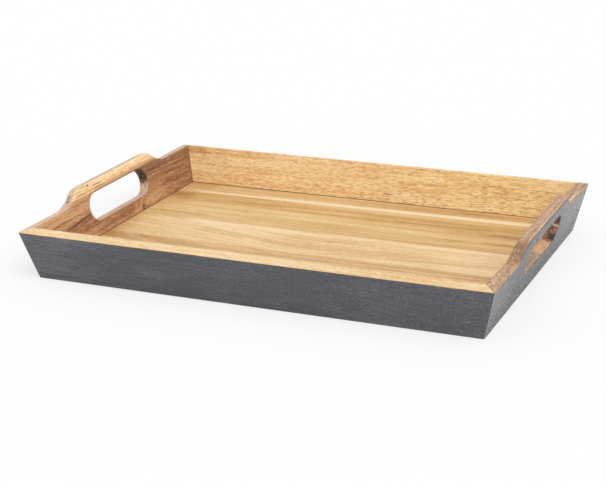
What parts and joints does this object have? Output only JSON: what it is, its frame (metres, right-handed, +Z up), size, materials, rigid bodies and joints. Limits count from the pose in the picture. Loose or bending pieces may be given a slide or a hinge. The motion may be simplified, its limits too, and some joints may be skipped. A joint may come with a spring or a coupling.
{
  "type": "serving tray",
  "caption": "Rectangular wooden serving tray with walls that lean out, mitred corners, a stave floor in a groove, and a raised end handle with a hand-hole at each end.",
  "frame": {"origin": "middle of the tray, on the surface that it stands on", "axes": "+X along the tray from the left handle to the right handle, +Y from the front board to the back board, +Z up"},
  "size_m": [0.5072, 0.3606, 0.0697],
  "materials": {
    "side_board_wood": "clear satin on the inside and the rim, slate paint outside",
    "left_end_wood": "clear satin on the inside and the rim, slate paint outside",
    "right_end_wood": "clear satin on the inside and the rim, slate paint outside",
    "floor_wood": "clear satin",
    "pin_steel": "bright drawn"
  },
  "bodies": {
    "root": {"front_board": "side_board_wood", "back_board": "side_board_wood", "left_handle_board": "left_end_wood", "right_handle_board": "right_end_wood", "floor_stave_1": "floor_wood", "floor_stave_2": "floor_wood", "floor_stave_3": "floor_wood", "floor_stave_4": "floor_wood", "corner_pins": "pin_steel"}
  },
  "joints": []
}
